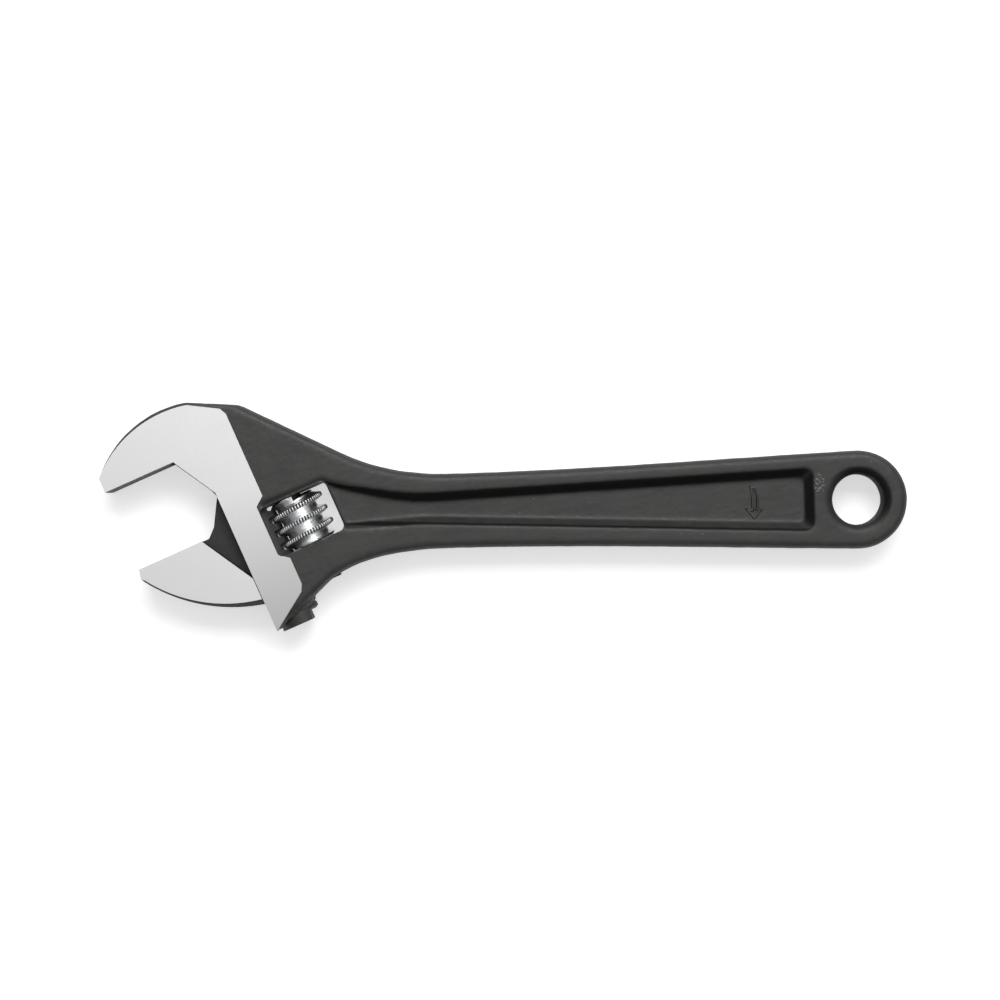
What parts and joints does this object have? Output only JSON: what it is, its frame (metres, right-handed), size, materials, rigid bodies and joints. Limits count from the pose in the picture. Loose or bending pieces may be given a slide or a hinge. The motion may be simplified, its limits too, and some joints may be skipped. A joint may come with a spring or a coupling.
{
  "type": "adjustable wrench",
  "caption": "Small adjustable wrench with a black forged body, ground jaw faces, a hanging hole, and a movable jaw on a rail driven by a knurled worm.",
  "frame": {"origin": "centre of the hanging hole at mid thickness", "axes": "+X runs along the handle from the head to the hanging hole's end, +Y lies in the plane of the wrench towards the fixed jaw's back, +Z is square to the flat side faces"},
  "size_m": [0.1145, 0.0329, 0.0088],
  "materials": {
    "body_black": "black phosphate on a forging, with ground bare side faces at the head",
    "jaw_black": "black phosphate on a forging, with ground bare side faces",
    "worm_chrome": "bright chrome plate",
    "pin_steel": "dark oiled steel",
    "spring_steel": "bright spring wire"
  },
  "bodies": {
    "frame": {"body": "body_black", "worm_pin": "pin_steel", "worm_spring": "spring_steel"},
    "jaw": {"movable_jaw": "jaw_black"},
    "worm": {"worm": "worm_chrome"}
  },
  "joints": [
    {"name": "worm_spin", "type": "hinge", "parent": "frame", "child": "worm", "pos_m": [-0.07905, -0.00067, 0], "axis": [-0.3827, 0.9239, 0], "range_deg": [-2131.3, 201.7]},
    {"name": "jaw_slide", "type": "slide", "parent": "frame", "child": "jaw", "axis": [0.3827, -0.9239, 0], "range_m": [-0.01184, 0.00112]}
  ],
  "couplings": [
    {"joint": "worm_spin", "follows": "jaw_slide", "rad_per_m": 3141.6}
  ]
}
